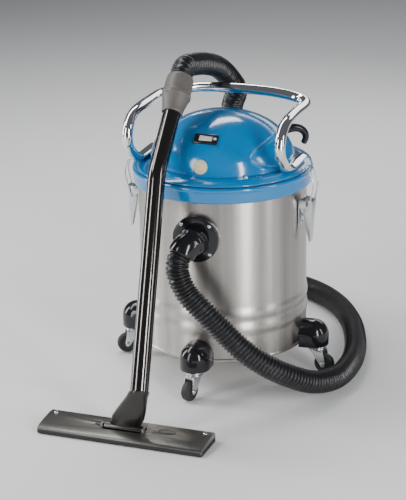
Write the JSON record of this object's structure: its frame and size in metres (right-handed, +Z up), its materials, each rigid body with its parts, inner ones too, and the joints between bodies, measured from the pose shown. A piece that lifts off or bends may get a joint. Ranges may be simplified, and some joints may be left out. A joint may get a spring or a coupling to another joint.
{
  "type": "shop vacuum",
  "caption": "Wet and dry shop vacuum: steel drum on swivel casters, clamped motor head with tube handle, front inlet hose, bent wand and floor tool",
  "frame": {"origin": "centre of the footprint of the machine with its wand and floor tool, on the floor; the hose and its cuff aren't counted", "axes": "+Z up, +Y from the floor tool in front towards the machine's back, +X to the right seen from the front"},
  "size_m": [0.5423, 0.9351, 0.6719],
  "materials": {
    "blue_enamel": "smooth gloss enamel",
    "satin_steel": "vertical satin brushing",
    "zinc": "bright zinc plate",
    "chrome": "polished chrome",
    "dark_chrome": "smoked chrome",
    "tool_black": "satin black moulding",
    "black_plastic": "gloss black moulding",
    "hose_black": "ribbed flexible plastic",
    "grey_plastic": "matt grey moulding",
    "black_rubber": "matt rubber",
    "wheel_tread": "hard moulded tread",
    "pressed_aluminium": "pressed sheet",
    "winding": "varnished copper and laminations",
    "bearing_steel": "ground steel",
    "foam": "open-cell foam",
    "float_plastic": "hollow moulded ball",
    "switch_cream": "gloss rocker",
    "seal_cream": "blank cream disc"
  },
  "bodies": {
    "machine": {"drum": "satin_steel", "drum_collar": "blue_enamel", "lid_gasket": "black_rubber", "lid": "blue_enamel", "motor_dome": "blue_enamel", "fan_housing": "pressed_aluminium", "motor_gasket": "black_rubber", "motor_plate": "pressed_aluminium", "stator": "winding", "motor_housing": "black_plastic", "bearing_lower": "bearing_steel", "bearing_upper": "bearing_steel", "float_cage": "black_plastic", "filter_sleeve": "foam", "switch_bezel": "black_plastic", "cord_gland": "black_rubber", "cord_hook_left": "black_plastic", "cord_hook_right": "black_plastic", "handle": "chrome", "seal_disc": "seal_cream", "inlet_flange": "black_plastic", "inlet_elbow": "black_plastic", "hose": "hose_black", "hose_cuff": "grey_plastic", "wand": "dark_chrome", "tool_neck": "tool_black", "tool_pivot_pin": "zinc", "latch_bracket_left": "zinc", "latch_bracket_right": "zinc", "lid_screw_left": "zinc", "lid_screw_right": "zinc", "caster_housing_front": "black_plastic", "caster_housing_left": "black_plastic", "caster_housing_rear": "black_plastic", "caster_housing_right": "black_plastic"},
    "floor_tool": {"tool_body": "tool_black", "tool_strip_front": "black_rubber", "tool_strip_back": "black_rubber", "tool_screw_left": "zinc", "tool_screw_right": "zinc"},
    "motor_rotor": {"armature": "winding", "impeller": "pressed_aluminium"},
    "float": {"float_ball": "float_plastic"},
    "rocker": {"power_switch": "switch_cream"},
    "latch_lever_left": {"latch_lever_left": "zinc"},
    "latch_bail_left": {"latch_bail_left": "zinc"},
    "latch_lever_right": {"latch_lever_right": "zinc"},
    "latch_bail_right": {"latch_bail_right": "zinc"},
    "caster_right": {"caster_fork_right": "zinc", "caster_axle_right": "zinc"},
    "wheel_right": {"caster_wheel_right": "wheel_tread"},
    "caster_rear": {"caster_fork_rear": "zinc", "caster_axle_rear": "zinc"},
    "wheel_rear": {"caster_wheel_rear": "wheel_tread"},
    "caster_left": {"caster_fork_left": "zinc", "caster_axle_left": "zinc"},
    "wheel_left": {"caster_wheel_left": "wheel_tread"},
    "caster_front": {"caster_fork_front": "zinc", "caster_axle_front": "zinc"},
    "wheel_front": {"caster_wheel_front": "wheel_tread"}
  },
  "joints": [
    {"name": "tool_tilt", "type": "hinge", "parent": "machine", "child": "floor_tool", "pos_m": [-0.07368, -0.3108, 0.02], "axis": [0.9991, -0.0419, 0], "range_deg": [-20, 30]},
    {"name": "motor_spin", "type": "hinge", "parent": "machine", "child": "motor_rotor", "pos_m": [-0.00068, 0.11303, 0.5], "axis": [0, 0, 1], "continuous": true},
    {"name": "float_rise", "type": "slide", "parent": "machine", "child": "float", "axis": [0, 0, 1], "range_m": [0, 0.052]},
    {"name": "switch_rock", "type": "hinge", "parent": "machine", "child": "rocker", "pos_m": [-0.00068, 0.00422, 0.52168], "axis": [0, -0.812, -0.5837], "range_deg": [0, 14]},
    {"name": "latch_lever_left", "type": "hinge", "parent": "machine", "child": "latch_lever_left", "pos_m": [-0.18666, 0.09349, 0.38], "axis": [-0.1045, 0.9945, 0], "range_deg": [0, 100]},
    {"name": "latch_bail_left", "type": "hinge", "parent": "latch_lever_left", "child": "latch_bail_left", "pos_m": [-0.19262, 0.09286, 0.364], "axis": [-0.1045, 0.9945, 0], "range_deg": [-100, 0]},
    {"name": "latch_lever_right", "type": "hinge", "parent": "machine", "child": "latch_lever_right", "pos_m": [0.18529, 0.09349, 0.38], "axis": [-0.1045, -0.9945, 0], "range_deg": [0, 100]},
    {"name": "latch_bail_right", "type": "hinge", "parent": "latch_lever_right", "child": "latch_bail_right", "pos_m": [0.19126, 0.09286, 0.364], "axis": [-0.1045, -0.9945, 0], "range_deg": [-100, 0]},
    {"name": "swivel_right", "type": "hinge", "parent": "machine", "child": "caster_right", "pos_m": [0.20432, 0.11303, 0.06], "axis": [0, 0, 1], "continuous": true},
    {"name": "wheel_right", "type": "hinge", "parent": "caster_right", "child": "wheel_right", "pos_m": [0.22115, 0.11067, 0.0215], "axis": [0.1392, 0.9903, 0], "continuous": true},
    {"name": "swivel_rear", "type": "hinge", "parent": "machine", "child": "caster_rear", "pos_m": [-0.00068, 0.31803, 0.06], "axis": [0, 0, 1], "continuous": true},
    {"name": "wheel_rear", "type": "hinge", "parent": "caster_rear", "child": "wheel_rear", "pos_m": [0.00513, 0.33401, 0.0215], "axis": [-0.9397, 0.342, 0], "continuous": true},
    {"name": "swivel_left", "type": "hinge", "parent": "machine", "child": "caster_left", "pos_m": [-0.20568, 0.11303, 0.06], "axis": [0, 0, 1], "continuous": true},
    {"name": "wheel_left", "type": "hinge", "parent": "caster_left", "child": "wheel_left", "pos_m": [-0.2204, 0.10453, 0.0215], "axis": [0.5, -0.866, 0], "continuous": true},
    {"name": "swivel_front", "type": "hinge", "parent": "machine", "child": "caster_front", "pos_m": [-0.00068, -0.09197, 0.06], "axis": [0, 0, 1], "continuous": true},
    {"name": "wheel_front", "type": "hinge", "parent": "caster_front", "child": "wheel_front", "pos_m": [-0.00594, -0.10813, 0.0215], "axis": [0.9511, -0.309, 0], "continuous": true}
  ],
  "couplings": [
    {"joint": "latch_bail_left", "follows": "latch_lever_left", "ratio": -1},
    {"joint": "latch_bail_right", "follows": "latch_lever_right", "ratio": -1}
  ]
}
